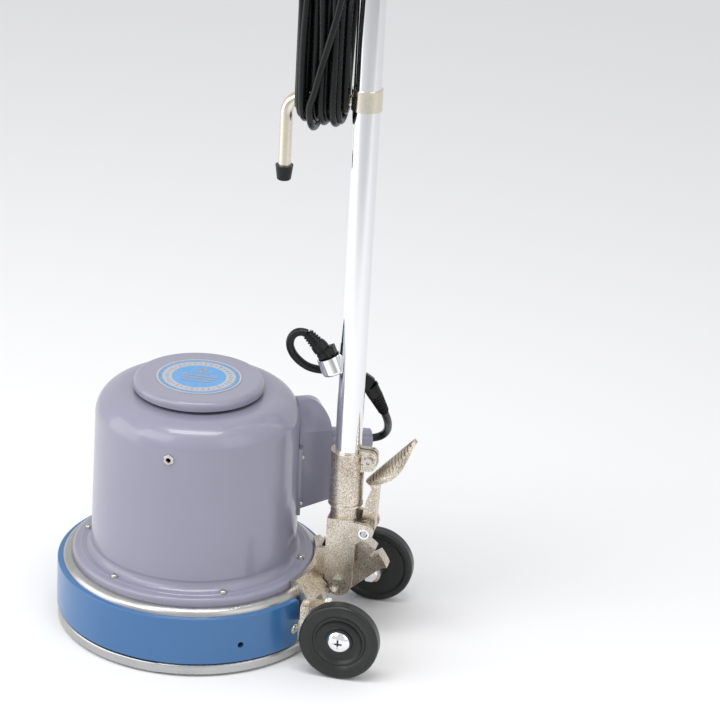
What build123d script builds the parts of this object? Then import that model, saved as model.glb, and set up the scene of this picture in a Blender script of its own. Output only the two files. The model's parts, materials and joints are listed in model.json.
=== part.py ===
from build123d import *
import math
import os

os.makedirs("parts", exist_ok=True)

# Rotary floor machine, in millimetres. The origin is on the floor under the motor's axis,
# +X points to the operator, +Y to the operator's right hand and +Z up.

# Base and motor
RIM_R = 219.0  # lip of the base casting
WALL_R = 212.0  # outside of the skirt, under the bumper band
WALL_IN_R = 205.0
RIM_Z = 3.0
DECK_Z = 113.0  # top of the deck
DECK_T = 8.0
DECK_HOLE_R = 92.0
BAND_R = 220.5
BAND_Z0, BAND_Z1 = 23.1, 103.4
BAND_GAP_DEG = 25.0  # half of the gap at the operator's side
BAND_SCREW_DEG, BAND_SCREW_Z = 28.0, 53.0
BAND_HOLE_DEG = 55.0
COVER_R = 195.8
COVER_TOP_Z = 400.0
COVER_T = 3.5
COVER_SCREW_R, COVER_SCREWS = 178.0, 6
CAP_R, CAP_Z0, CAP_Z1 = 103.8, 405.7, 420.5
BADGE_R = 67.5
PAD_R, PAD_T = 200.0, 20.0
DRIVER_R, DRIVER_T = 195.0, 14.0

# Planetary gears: one sun, three planets and a fixed ring give 8 to 1
MODULE = 1.75
SUN_N, PLANET_N, RING_N = 12, 36, 84
GEAR_Z0, GEAR_Z1 = 82.0, 98.0
ORBIT_R = MODULE * (SUN_N + PLANET_N) / 2
BACKLASH = 0.62
HOUSING_R = 90.0
FLANGE_R = 115.0

# Motor
STATOR_R, STATOR_BORE_R, STATOR_Z0, STATOR_Z1 = 86.0, 46.0, 185.0, 285.0
ROTOR_R = 45.4
SHAFT_R, SHAFT_TOP_R, SHAFT_TOP_Z = 9.95, 7.95, 365.0
FIT = 0.05  # radial running clearance

# Junction box, on a direction turned from the operator's side
BOX_DEG = 27.0
BOX_HALF_W, BOX_END, BOX_TOP_Z = 42.0, 212.0, 376.0
BOX_ROUND_R, BOX_CREASE_Z = 42.0, 331.0
SADDLE_HALF_W, SADDLE_TOP_Z = 55.0, 307.0
SADDLE_R = 170.0
GLAND_S, GLAND_Z, GLAND_X, GLAND_END = -18.0, 302.0, 266.0, 283.0

# Yoke, wheels and handle hinge
PIVOT_X, PIVOT_Z = 247.0, 106.0
CHEEK_IN, CHEEK_OUT, CHEEK_R = 22.0, 30.0, 22.0
EAR_IN, EAR_OUT = 12.7, 21.5
QUADRANT_R = 81.0
WHEEL_R, WHEEL_X, WHEEL_IN, WHEEL_OUT = 64.0, 276.0, 126.0, 151.0
AXLE_R = 6.0
PEDAL_X, PEDAL_Z = 285.4, 201.0
PIN_R = 8.75

# Handle
TUBE_R, TUBE_IN_R, TUBE_Z0, TUBE_Z1 = 21.2, 18.7, 245.0, 1180.0
SLEEVE_R, SLEEVE_Z0, SLEEVE_Z1 = 27.0, 240.0, 330.0
HOOK_X, HOOK_R, HOOK_BEND = 124.0, 9.75, 30.0
HOOK_LOW_Z, HOOK_HIGH_Z = 905.0, 1108.0
HOOK_BAND = 33.0
HANK_X0, HANK_X1, HANK_T = 139.0, 221.5, 23.0
BAR_X, BAR_Z, BAR_R, BAR_Y = 282.0, 1208.0, 14.0, 205.0
GRIP_R, GRIP_Y = 18.0, 100.0
HEAD_X0, HEAD_X1, HEAD_Y, HEAD_Z0, HEAD_Z1 = 209.0, 305.0, 60.0, 1152.0, 1240.0
TRIGGER_Z, TRIGGER_Y = 1168.0, 66.0
BUTTON_X, BUTTON_R = 240.0, 8.0

# Cords
LEAD_R, CORD_R = 6.5, 5.5

ON_BASE = (Align.CENTER, Align.CENTER, Align.MIN)


def save(shape, name):
    export_step(shape, f"parts/{name}.step")


def group(pieces):
    return Compound(children=list(pieces))


def rod(r, z0, z1, x=0.0, y=0.0):
    """An upright cylinder."""
    return Pos(x, y, (z0 + z1) / 2) * Cylinder(r, z1 - z0)


def rod_y(r, y0, y1, x, z):
    return Pos(x, (y0 + y1) / 2, z) * Rot(90, 0, 0) * Cylinder(r, y1 - y0)


def rod_x(r, x0, x1, y, z):
    return Pos((x0 + x1) / 2, y, z) * Rot(0, 90, 0) * Cylinder(r, x1 - x0)


def cone_x(r0, r1, x0, length, y, z):
    return Pos(x0, y, z) * Rot(0, 90, 0) * Cone(r0, r1, length, align=ON_BASE)


def block(x0, x1, y0, y1, z0, z1):
    return Pos((x0 + x1) / 2, (y0 + y1) / 2, (z0 + z1) / 2) * Box(x1 - x0, y1 - y0, z1 - z0)


def outline(start, *steps):
    """A closed face in the XZ plane. A step is a point (x, z), or (through, end) for an arc."""
    here, edges = start, []
    for step in (*steps, start):
        end = step[1] if isinstance(step[0], tuple) else step
        if end == here:
            continue
        a, b = Vector(here[0], 0, here[1]), Vector(end[0], 0, end[1])
        if isinstance(step[0], tuple):
            edges.append(ThreePointArc(a, Vector(step[0][0], 0, step[0][1]), b))
        else:
            edges.append(Line(a, b))
        here = end
    return make_face(edges)


def turned(*profile, arc=360.0, start_deg=0.0):
    """A profile of (radius, z) points turned about the motor's axis."""
    return Rot(0, 0, start_deg) * revolve(outline(*profile), Axis.Z, arc)


def plate(face, y0, y1):
    """A face in the XZ plane made thick from y0 to y1."""
    return Pos(0, y0, 0) * extrude(face, amount=y1 - y0, dir=(0, 1, 0))


def both_sides(solid):
    return solid, mirror(solid, Plane.XZ)


def around(solid, count, first_deg=0.0):
    return [Rot(0, 0, first_deg + 360 * i / count) * solid for i in range(count)]


def drilled(solid, tools):
    for tool in tools:
        solid = solid - tool
    return solid


def hexagon_y(flat, y0, y1, x, z):
    """A hexagonal bolt head or nut whose axis lies along Y."""
    prism = extrude(RegularPolygon(flat / 2, 6, major_radius=False), amount=y1 - y0)
    return Pos(x, y1, z) * Rot(90, 0, 0) * prism


def pan_screw(head_r, head_h, shank_r, length):
    """A pan-head screw with its washer, standing on z = 0 with its shank below."""
    washer = Cylinder(head_r * 1.35, 1.2, align=ON_BASE)
    head = revolve(
        outline((0, 1.2), (head_r, 1.2), ((head_r * 0.8, 1.0 + head_h * 0.9), (head_r * 0.3, 1.2 + head_h)),
                (0, 1.2 + head_h)),
        Axis.Z,
    )
    slot = Pos(0, 0, 1.2 + head_h) * (Box(head_r, head_r * 0.2, 1.6) + Box(head_r * 0.2, head_r, 1.6))
    shank = Pos(0, 0, -length) * Cylinder(shank_r, length, align=ON_BASE)
    return washer + head - slot + shank


def gear_face(teeth, outer, width_add):
    """A spur gear's outline: straight flanks through the pitch circle, thinned for backlash."""
    pitch_r = MODULE * teeth / 2
    tip_r = pitch_r + MODULE * (0.95 if outer else 1.25)
    root_r = pitch_r - MODULE * (1.2 if outer else 0.85)
    half = math.pi / teeth / 2 + width_add / 2 / pitch_r
    slope = math.tan(math.radians(20))
    tip = half - (tip_r - pitch_r) * slope / tip_r
    root = half + (pitch_r - root_r) * slope / root_r * 0.75
    points = []
    for i in range(teeth):
        middle = 2 * math.pi * i / teeth
        for r, turn in ((root_r, -root), (pitch_r, -half), (tip_r, -tip), (tip_r, tip), (pitch_r, half),
                        (root_r, root)):
            points.append((r * math.cos(middle + turn), r * math.sin(middle + turn)))
    return make_face(Polyline(*points, close=True))


def tube_along(points, r, radii):
    """A round cord: straight runs joined by tangent arcs."""
    path = FilletPolyline(*points, radius=radii)
    start = Plane(origin=path @ 0, z_dir=path % 0)
    solid = sweep(start * Circle(r), path=path)
    print("cord length", round(path.length, 1), "volume ratio",
          round(solid.volume / (math.pi * r * r * path.length), 4), "radii", [round(x, 1) for x in radii])
    return solid


def corner_radii(points, share=0.45):
    """The largest radius that the two runs at each corner leave room for."""
    radii = []
    for a, b, c in zip(points, points[1:], points[2:]):
        first, second = Vector(*b) - Vector(*a), Vector(*c) - Vector(*b)
        turn = math.radians(first.get_angle(second))
        radii.append(share * min(first.length, second.length) / math.tan(turn / 2))
    return radii


# ---------------------------------------------------------------- base

def cover_screw_places():
    top = Pos(COVER_SCREW_R, 0, 127.0)
    return [Rot(0, 0, 60 * i) * top for i in range(COVER_SCREWS)]


def band_screw_places():
    out = Pos(BAND_R - 0.3, 0, BAND_SCREW_Z) * Rot(0, 90, 0)
    return [Rot(0, 0, side * BAND_SCREW_DEG) * out for side in (1, -1)]


def make_base():
    """The deck, its silver shoulder, the skirt and the lip in one casting, with stiffening ribs."""
    under = DECK_Z - DECK_T
    casting = turned(
        (DECK_HOLE_R, under), (DECK_HOLE_R, DECK_Z), (197, DECK_Z), ((208.2, 110.6), (WALL_R, 103.4)),
        (WALL_R, 21), (RIM_R - 3, 20), ((RIM_R - 0.6, 18.4), (RIM_R, 16)), (RIM_R, RIM_Z + 3),
        ((RIM_R - 0.9, RIM_Z + 0.9), (RIM_R - 3, RIM_Z)), (WALL_IN_R + 2, RIM_Z), (WALL_IN_R, RIM_Z + 2),
        (WALL_IN_R, under - 8), ((WALL_IN_R - 2.4, under - 2.4), (WALL_IN_R - 8, under)),
    )
    ribs = around(block(100, WALL_IN_R + 1, -3, 3, under - 14, under + 1), 8, 22.5)
    for rib in ribs:
        casting += rib
    return casting


def make_band():
    sweep_deg = 360 - 2 * BAND_GAP_DEG
    band = turned((WALL_R, BAND_Z0), (BAND_R, BAND_Z0), (BAND_R, BAND_Z1), (WALL_R, BAND_Z1),
                  arc=sweep_deg, start_deg=BAND_GAP_DEG)
    corners = [e for e in band.edges().filter_by(GeomType.LINE) if abs(e.length - (BAND_R - WALL_R)) < 0.01]
    band = fillet(corners, 9)
    rims = [e for e in band.edges() if e.length > 500 and math.hypot((e @ 0).X, (e @ 0).Y) > BAND_R - 1]
    band = fillet(rims, 2.4)
    for side in (1, -1):
        hole = Rot(0, 0, side * BAND_HOLE_DEG) * rod_x(5, BAND_R - 10, BAND_R + 5, 0, BAND_SCREW_Z)
        band -= hole
    return band


def cover_outer():
    """The outside of the motor cover: flange, wall and rounded shoulder."""
    return (
        (0, DECK_Z), (COVER_R, DECK_Z), (COVER_R, 119), ((COVER_R - 1.5, 123.5), (COVER_R - 6, 125.5)),
        (184, 126.2), (183, 127), (173.5, 127), ((168.6, 131), (166.5, 143)), (163.2, 355),
        ((150.5, 387.8), (119, COVER_TOP_Z)), (0, COVER_TOP_Z),
    )


def make_cover():
    t = COVER_T
    inner = turned(
        (0, DECK_Z), (COVER_R - t, DECK_Z), (COVER_R - t, 119), (COVER_R - 7, 122.2), (183, 123.4),
        (171, 123.4), ((165.2, 131), (163, 143)), (159.7, 355), ((147.8, 385), (118.5, COVER_TOP_Z - t)),
        (0, COVER_TOP_Z - t),
    )
    cover = turned(*cover_outer()) - inner
    cover -= rod(62, COVER_TOP_Z - 10, COVER_TOP_Z + 1)
    for boss in around(rod(6, DECK_Z, DECK_Z + 12, COVER_SCREW_R), COVER_SCREWS):
        cover += boss
    cover -= Rot(0, 0, -91) * rod_x(4.2, 150, 170, 0, 348)
    return cover


def make_cap():
    """The lid over the cooling air inlet: a rounded disc on three short legs."""
    lid = turned(
        (0, CAP_Z1), (95, CAP_Z1), ((101.5, 417.8), (CAP_R, 411.5)), (CAP_R, CAP_Z0), (CAP_R - 3, CAP_Z0),
        (CAP_R - 3, 411), (94, 417), (0, 417),
    )
    for leg in around(rod(7, COVER_TOP_Z, 418, 84), 3, 30):
        lid += leg
    return lid


def make_badge():
    """A round plate with two raised rings."""
    z = CAP_Z1
    return turned((0, z), (BADGE_R, z), (BADGE_R, z + 1.1), (65.3, z + 1.1), (65.3, z + 0.7), (57, z + 0.7),
                  (57, z + 1.0), (44.5, z + 1.0), (44.5, z + 0.7), (0, z + 0.7))


def make_gearbox_housing():
    return turned((32, 54), (38, 54), (38, 62), (86, 62), ((HOUSING_R - 1, 63), (HOUSING_R, 67)),
                  (HOUSING_R, DECK_Z), (FLANGE_R, DECK_Z), (FLANGE_R, 121), (84, 121), (84, 70), (32, 70))


def make_ring_gear():
    ring = extrude(Circle(84) - gear_face(RING_N, False, BACKLASH / 2), amount=20)
    return Pos(0, 0, 80) * ring


def make_gearbox_cover():
    """The motor's lower end shield, which closes the gearbox."""
    return turned((23.5, 115), (60, 115), (60, 121), (FLANGE_R, 121), (FLANGE_R, 131), (30, 131), (30, 137),
                  (23.5, 137))


def bearing(r_in, r_out, z0, z1):
    shield = 0.8
    middle = (r_in + r_out) / 2
    wide = (r_out - r_in) * 0.22
    inner, outer = middle - wide, middle + wide
    return turned(
        (r_in, z0), (inner, z0), (inner, z0 + shield), (outer, z0 + shield), (outer, z0), (r_out, z0),
        (r_out, z1), (outer, z1), (outer, z1 - shield), (inner, z1 - shield), (inner, z1), (r_in, z1),
    )


def make_windings():
    """Copper end turns joined by the bars that fill the slots."""
    coil = turned((52, STATOR_Z0 - 24), (76, STATOR_Z0 - 24), (80, STATOR_Z0 - 18), (80, STATOR_Z0),
                  (50, STATOR_Z0), (50, STATOR_Z0 - 20))
    top = turned((52, STATOR_Z1 + 24), (76, STATOR_Z1 + 24), (80, STATOR_Z1 + 18), (80, STATOR_Z1),
                 (50, STATOR_Z1), (50, STATOR_Z1 + 20))
    bars = around(block(52, 68, -5, 5, STATOR_Z0 - 1, STATOR_Z1 + 1), 12)
    for bar in bars:
        coil += bar
    return coil + top, bars


def make_fan():
    fan = rod(18, 343, 364) - rod(SHAFT_TOP_R, 340, 370)
    fan += turned((17, 343), (74, 343), (74, 345), (17, 345))
    for blade in around(Pos(0, 4, 0) * block(17, 72, -1.2, 1.2, 344, 362), 8):
        fan += blade
    return fan


# ---------------------------------------------------------------- junction box

def at_box(solid):
    return Rot(0, 0, BOX_DEG) * solid


def hood(inset):
    """The box's outside, or its hollow when inset: a ridged section with a rounded end."""
    w, top, end, r = BOX_HALF_W - inset, BOX_TOP_Z - inset, BOX_END - inset, BOX_ROUND_R - inset
    bend = r * math.sqrt(0.5)
    side = outline((120, 190 + inset), (165, 196 + inset), (end, 209 + inset), (end, top - r),
                   ((end - r + bend, top - r + bend), (end - r, top)), (120, top))
    ridge = (9, top - 4.6)
    arch = make_face([
        Line((100, -w, 150), (100, w, 150)),
        Line((100, w, 150), (100, w, BOX_CREASE_Z)),
        Line((100, w, BOX_CREASE_Z), (100, *ridge)),
        ThreePointArc((100, *ridge), (100, 0, top), (100, -ridge[0], ridge[1])),
        Line((100, -ridge[0], ridge[1]), (100, -w, BOX_CREASE_Z)),
        Line((100, -w, BOX_CREASE_Z), (100, -w, 150)),
    ])
    return plate(side, -w - 5, w + 5) & extrude(arch, amount=200, dir=(1, 0, 0))


def make_junction_box():
    """The hooded box against the cover's wall, with a long boss for the gland."""
    box = hood(0) - hood(3)
    box += cone_x(23.5, 19, BOX_END - 2, GLAND_X - BOX_END + 2, GLAND_S, GLAND_Z)
    box -= rod_x(9, 200, 300, GLAND_S, GLAND_Z)
    box -= rod(SADDLE_R, 150, SADDLE_TOP_Z + 0.3)
    wall = turned((0, 150), (167, 150), (163.6, 355), ((150.8, 388.2), (119, COVER_TOP_Z + 0.4)),
                  (0, COVER_TOP_Z + 0.4))
    return at_box(box - wall)


def make_saddle(cover_solid):
    """The mounting plate that follows the cover's wall, with a shelf for the capacitors."""
    half = SADDLE_HALF_W
    pad = block(130, 200, -half, half, 190, SADDLE_TOP_Z) & (rod(SADDLE_R, 150, 400) - rod(158, 150, 400))
    pad = at_box(pad) - cover_solid
    shelf = block(140, 208, -37, 37, 222, 225) - rod(SADDLE_R - 2, 150, 400)
    return pad + at_box(shelf)


def make_capacitors():
    return group(at_box(Pos(0, s, 0) * (rod(17.5, 225, 304, 190) + rod(5, 304, 312, 190))) for s in (-19, 19))


def make_gland():
    return at_box(cone_x(18.5, 16, GLAND_X, GLAND_END - GLAND_X, GLAND_S, GLAND_Z))


# ---------------------------------------------------------------- yoke, wheels, quadrant

def make_yoke(base):
    """A curved saddle behind the base, two ears for the hinge and two arms for the wheels."""
    back = RIM_R - 6.7
    yoke = turned((198, DECK_Z), (198, 127), (209, 130), (236, 101), (236, 62), (back, 62), (back, 101.5),
                  (209, 110.8), arc=2 * BAND_GAP_DEG - 2, start_deg=1 - BAND_GAP_DEG)
    yoke -= block(222.5, 260, -34, 34, 50, 140)
    ear = outline((203, 116), (203, 140), (211, 160), (226, 160), ((258, 148), (266, 113)),
                  ((262, 92), (247, 86.5)), (236, 84), (222, 72), (214.5, 72), (214.5, 100))
    for solid in both_sides(plate(ear, EAR_IN, EAR_OUT)):
        yoke += solid
    web = plate(outline((203, 116), (203, 140), (211, 160), (214, 160), (214, 113)), -EAR_OUT, EAR_OUT)
    yoke += web
    arm = block(205, 238, 80, 112, 64, 99) - rod(BAND_R + 0.8, 0, 200)
    side = outline((210, 66), (222, 99), (238, 99), (286, 77.5), ((293, 64), (286, 50.5)), (236, 64))
    arm += plate(side, 98, 112)
    arm += rod_y(15, 98, WHEEL_IN - 0.5, WHEEL_X, WHEEL_R)
    arm -= rod_y(AXLE_R, 90, 130, WHEEL_X, WHEEL_R)
    for solid in both_sides(arm):
        yoke += solid
    yoke -= rod_y(8, -40, 40, PIVOT_X, PIVOT_Z)
    for y in (-60, 60):
        yoke -= rod_x(5, 200, 250, y, 84)
    return yoke - base


def make_quadrant():
    """The locking sector: a thick rim with two notches, a thinner web and a hub on the hinge bolt."""
    def spot(r, deg):
        return PIVOT_X + r * math.cos(math.radians(deg)), PIVOT_Z + r * math.sin(math.radians(deg))
    q = QUADRANT_R
    web = plate(outline((PIVOT_X + 15, PIVOT_Z - 19), spot(q - 4, 24), (spot(q - 2, 60), spot(q - 2, 96)),
                        spot(20, 150), spot(24, 200), spot(21, 250)), -9, 9)
    rim = plate(outline(spot(q - 17, 25), spot(q, 22), (spot(q, 60), spot(q, 97)), spot(q - 14, 96),
                        (spot(q - 14, 60), spot(q - 14, 30))), -12.4, 12.4)
    hub = rod_y(19, -12.6, 12.6, PIVOT_X, PIVOT_Z)
    quadrant = web + rim + hub
    for middle in (44.5, 77.5):
        notch = plate(outline(spot(q - 13, middle - 2.6), spot(q + 4, middle - 4), spot(q + 4, middle + 3),
                              spot(q - 13, middle + 2.2)), -20, 20)
        quadrant -= notch
    return quadrant - rod_y(8, -40, 40, PIVOT_X, PIVOT_Z)


def make_pivot_bolt():
    bolt = rod_y(8, -40, 36, PIVOT_X, PIVOT_Z)
    bolt += rod_y(13.5, -32.6, -30.4, PIVOT_X, PIVOT_Z) + rod_y(13.5, 30.4, 32.6, PIVOT_X, PIVOT_Z)
    bolt += hexagon_y(22, -40, -32.6, PIVOT_X, PIVOT_Z) + hexagon_y(22, 32.6, 41, PIVOT_X, PIVOT_Z)
    return bolt


def make_yoke_bolts():
    def one(y):
        shank = rod_x(5, 205.2, 238, y, 84)
        washer = rod_x(11, 236.2, 238, y, 84)
        head = Pos(238, y, 84) * Rot(0, 90, 0) * extrude(RegularPolygon(8.5, 6, major_radius=False), amount=7)
        return shank + washer + head
    return group((one(-60), one(60)))


def make_wheel():
    """A moulded wheel: rounded tread, a raised ring on the face and a recessed hub."""
    r, w = WHEEL_R, WHEEL_OUT - WHEEL_IN
    wheel = revolve(
        outline((AXLE_R + FIT, 0), (20, 0), (22, 3), (50, 3), (54, 0), (58, 0), ((62.4, 1.7), (r, 6)),
                (r, w - 6), ((62.4, w - 1.7), (58, w)), (53, w), ((47, w - 2.6), (42.5, w - 5.6)),
                ((41, w - 4.6), (38.5, w - 4.8)), ((32, w - 9.5), (25, w - 10.5)),
                ((23, w - 10), (21.5, w - 4.5)), (AXLE_R + FIT, w - 4.5)),
        Axis.Z,
    )
    return Pos(WHEEL_X, WHEEL_IN, WHEEL_R) * Rot(-90, 0, 0) * wheel


def make_axle():
    """A bolt with a wide pan head outside the wheel and a nut behind the boss."""
    head_y = WHEEL_OUT - 4.2
    axle = rod_y(AXLE_R, 84, head_y + 1, WHEEL_X, WHEEL_R)
    head = revolve(outline((0, 0), (18, 0), (18, 1.5), ((13, 5.2), (0, 6.6))), Axis.Z)
    head -= Pos(0, 0, 6.6) * (Box(16, 3, 6) + Box(3, 16, 6))
    axle += Pos(WHEEL_X, head_y, WHEEL_R) * Rot(-90, 0, 0) * head
    axle += hexagon_y(19, 87.5, 96, WHEEL_X, WHEEL_R) + rod_y(12, 96, 98, WHEEL_X, WHEEL_R)
    return axle


# ---------------------------------------------------------------- handle

def make_fork():
    """The cast clamp sleeve, its neck and the two cheeks that straddle the hinge."""
    cheek_face = outline(
        (PIVOT_X - 23, 217), (PIVOT_X - 23, 150), (PIVOT_X - CHEEK_R, PIVOT_Z), ((PIVOT_X, PIVOT_Z - CHEEK_R),
         (PIVOT_X + CHEEK_R, PIVOT_Z)), (PIVOT_X + 24, 178), (281, 187.6), ((298.4, 196), (290, 214.2)),
        (PEDAL_X - 4, 215), (PIVOT_X + 22, 217),
    )
    fork = plate(cheek_face, CHEEK_IN, CHEEK_OUT) + plate(cheek_face, -CHEEK_OUT, -CHEEK_IN)
    fork += block(PIVOT_X - 23, PIVOT_X + 20, -CHEEK_OUT, CHEEK_OUT, 206, 219)
    fork += rod(23.5, 215, SLEEVE_Z0 + 2, PIVOT_X)
    fork += rod(SLEEVE_R, SLEEVE_Z0 + 4, SLEEVE_Z1, PIVOT_X)
    fork += rod(SLEEVE_R - 1.6, SLEEVE_Z0, SLEEVE_Z0 + 5, PIVOT_X)
    fork += rod(SLEEVE_R + 1, SLEEVE_Z0 - 3, SLEEVE_Z0, PIVOT_X)
    ear_face = outline((PIVOT_X + 20, 334), (284, 334), ((292, 330.5), (295, 322)), (295, 313),
                       ((292, 304.5), (284, 301)), (PIVOT_X + 20, 298))
    fork += plate(ear_face, 2, 12) + plate(ear_face, -12, -2)
    fork -= rod(TUBE_R, TUBE_Z0, 400, PIVOT_X)
    fork -= block(PIVOT_X + 10, 310, -2, 2, 288, 340)
    fork -= rod_y(8 + FIT, -40, 40, PIVOT_X, PIVOT_Z)
    fork -= rod_y(PIN_R, -40, 40, PEDAL_X, PEDAL_Z)
    return fork - rod_y(4, -20, 20, 283, 318)


def make_clamp_bolt():
    bolt = rod_y(4, -12, 12, 283, 318)
    bolt += rod_y(7.5, -17, -12, 283, 318) + hexagon_y(13, 12, 18, 283, 318)
    return bolt - hexagon_y(6, -18, -14, 283, 318)


def make_pedal_pin():
    return rod_y(PIN_R, -34, 34, PEDAL_X, PEDAL_Z) - rod_y(6, -35, 35, PEDAL_X, PEDAL_Z)


def make_pedal():
    """The foot lever: a crowned leaf-shaped step with grooves, a curved arm, a hub on the pin and a pawl."""
    arm = plate(outline(
        (PEDAL_X - 8, 208), ((280, 240), (290, 270)), (284.1, 280.5), (324.5, 324.9), (328.2, 321.6),
        ((308, 293), (300.5, 258)), ((299.5, 230), (PEDAL_X + 12, 203)), (PEDAL_X, 190)), -10, 10)
    arm += rod_y(13, -11.5, 11.5, PEDAL_X, PEDAL_Z)
    pawl = plate(outline((PEDAL_X - 3, 189), (PEDAL_X - 10, 206), (263, 198), (258.5, 189), (264.5, 187.3),
                         (272, 190)), -11.5, 11.5)
    arm += pawl
    length, wide, lean = 108.0, 31.0, math.degrees(math.atan2(77, 70))
    leaf = make_face([
        ThreePointArc((0, -9, 0), (length * 0.52, -wide, 0), (length, -5, 0)),
        Line((length, -5, 0), (length, 5, 0)),
        ThreePointArc((length, 5, 0), (length * 0.52, wide, 0), (0, 9, 0)),
        Line((0, 9, 0), (0, -9, 0)),
    ])
    crown_r, crown_z = 46.0, -38.0
    crown = rod_x(crown_r, -5, length + 5, 0, crown_z) - rod_x(crown_r - 7, -5, length + 5, 0, crown_z)
    for i in range(14):
        x = 9 + 7 * i
        crown -= rod_x(crown_r + 1, x, x + 2.6, 0, crown_z) - rod_x(crown_r - 2.2, x, x + 2.6, 0, crown_z)
    step = Pos(0, 0, -30) * extrude(leaf, amount=50) & crown
    step = Pos(285, 0, 277) * Rot(0, -lean, 0) * step
    return arm + step - rod_y(PIN_R + FIT, -40, 40, PEDAL_X, PEDAL_Z)


def make_pedal_spring():
    """The torsion spring beside the pedal's hub."""
    turns, wire, coil_r = 2.5, 1.0, 10.6
    path = Helix(pitch=2.6, height=2.6 * turns, radius=coil_r)
    coil = sweep(Plane(origin=path @ 0, z_dir=path % 0) * Circle(wire), path=path)
    return Pos(PEDAL_X, 20.4, PEDAL_Z) * Rot(90, 0, 0) * coil


def make_hook(z, up, clear=0.0):
    """A cord hook: a band round the tube and a bar that turns up or down at its end."""
    leg = 83.0 if up < 0 else 45.0
    end = z + up * (HOOK_BEND + leg)
    path = FilletPolyline((PIVOT_X - TUBE_R - 0.6, 0, z), (HOOK_X, 0, z), (HOOK_X, 0, end), radius=HOOK_BEND)
    bar = sweep(Plane(origin=path @ 0, z_dir=path % 0) * Circle(HOOK_R + clear), path=path)
    return bar, end


def make_cord_hooks():
    solids = []
    for z, up in ((HOOK_LOW_Z, -1), (HOOK_HIGH_Z, 1)):
        bar, _ = make_hook(z, up)
        mid_z = z - 6.5 * up
        band = rod(TUBE_R + 2.6, mid_z - HOOK_BAND / 2, mid_z + HOOK_BAND / 2, PIVOT_X)
        edge = TUBE_R + 0.5
        lug = block(-6, 6, edge, edge + 15, mid_z - 12, mid_z + 12)
        lug -= block(-1.2, 1.2, edge - 3, edge + 20, mid_z - 20, mid_z + 20)
        for bolt_z in (mid_z - 6, mid_z + 6):
            lug += rod_x(2.4, -11, 11, edge + 9, bolt_z)
            lug += rod_x(4.2, -9, -6, edge + 9, bolt_z) + rod_x(4.2, 6, 9, edge + 9, bolt_z)
        gap = block(PIVOT_X - 1.2, PIVOT_X + 1.2, 10, edge + 1, mid_z - 20, mid_z + 20)
        hook = band + bar - gap + Pos(PIVOT_X, 0, 0) * lug
        solids.append(hook - rod(TUBE_R, z - 30, z + 30, PIVOT_X))
    return group(solids)


def make_hook_caps():
    def cap(end, up):
        body = Cone(HOOK_R + 4.2, HOOK_R + 1, 24, align=ON_BASE)
        body = fillet(body.edges().group_by(Axis.Z)[-1], 3)
        return Pos(HOOK_X, 0, end) * (body if up > 0 else Rot(180, 0, 0) * body)
    return group(cap(make_hook(z, up)[1], up) for z, up in ((HOOK_LOW_Z, -1), (HOOK_HIGH_Z, 1)))


def make_socket():
    """The short chromed outlet, leaning away from the tube, that the motor lead leaves by."""
    leaned = Pos(220, 0, 458) * Rot(0, -24.5, 0)
    shell = turned((0, 0), (14, 0), ((18, 1.6), (19.6, 6)), (19.6, 29.5), (17.2, 29.5), (17.2, 8), (0, 8))
    return leaned * shell - rod(TUBE_R, 400, 520, PIVOT_X)


# The motor lead loops out of the outlet and passes behind the tube to the in-line connector.
LEAD_TOP = (
    (172.0, 0.0, 519.0), (162.0, 0.0, 521.0), (151.8, 0.5, 516.5), (145.3, 2.0, 506.5),
    (143.6, 4.0, 494.5), (146.6, 7.0, 482.5), (152.5, 11.0, 471.5), (161.5, 15.0, 461.5),
    (173.0, 20.0, 453.0), (188.0, 27.0, 448.0), (206.0, 35.0, 446.0), (225.0, 40.0, 446.5),
)
# From the connector's boot the lead hangs down to the gland of the junction box.
LEAD_LOW = (
    (290.0, 59.0, 377.0), (292.3, 68.5, 364.5), (293.0, 81.0, 350.5), (291.5, 95.5, 336.5),
    (288.5, 108.5, 322.5), (282.5, 117.5, 310.5), (272.2, 118.3, 302.3), (260.6, 112.4, 302.0),
)


def along(a, b, piece_r, a_r=None):
    """A round or tapered bar from a to b."""
    a, b = Vector(*a), Vector(*b)
    plane = Plane(origin=a, z_dir=(b - a))
    length = (b - a).length
    if a_r is None:
        return plane * Cylinder(piece_r, length, align=ON_BASE)
    return plane * Cone(a_r, piece_r, length, align=ON_BASE)


def ball(at, r):
    return Pos(*at) * Sphere(r)


def make_lead_boot():
    """The plug in the outlet with its latch block, and its tapered boot."""
    low, knee = (212.5, 0.0, 475.5), (193.0, 0.0, 499.0)
    boot = along(low, knee, 13.0) + ball(knee, 13.4) + along(knee, LEAD_TOP[0], 9.2, 12.6)
    return boot + Pos(212.0, 0, 494.5) * Rot(0, -24.5, 0) * Box(13, 17, 19)


def make_connector():
    """The in-line plug and socket behind the tube, with a boot at the lower end."""
    near, mid, far, low = LEAD_TOP[-1], (243, 41.5, 441), (268, 43, 425), (277, 46.5, 408)
    body = along(near, mid, 13, 9) + ball(mid, 14.9) + along(mid, far, 14.5) + ball(far, 14.9)
    return body + along(far, low, 11.2, 13.4) + ball(low, 11.7) + along(low, LEAD_LOW[0], 8.2, 11.0)


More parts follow.
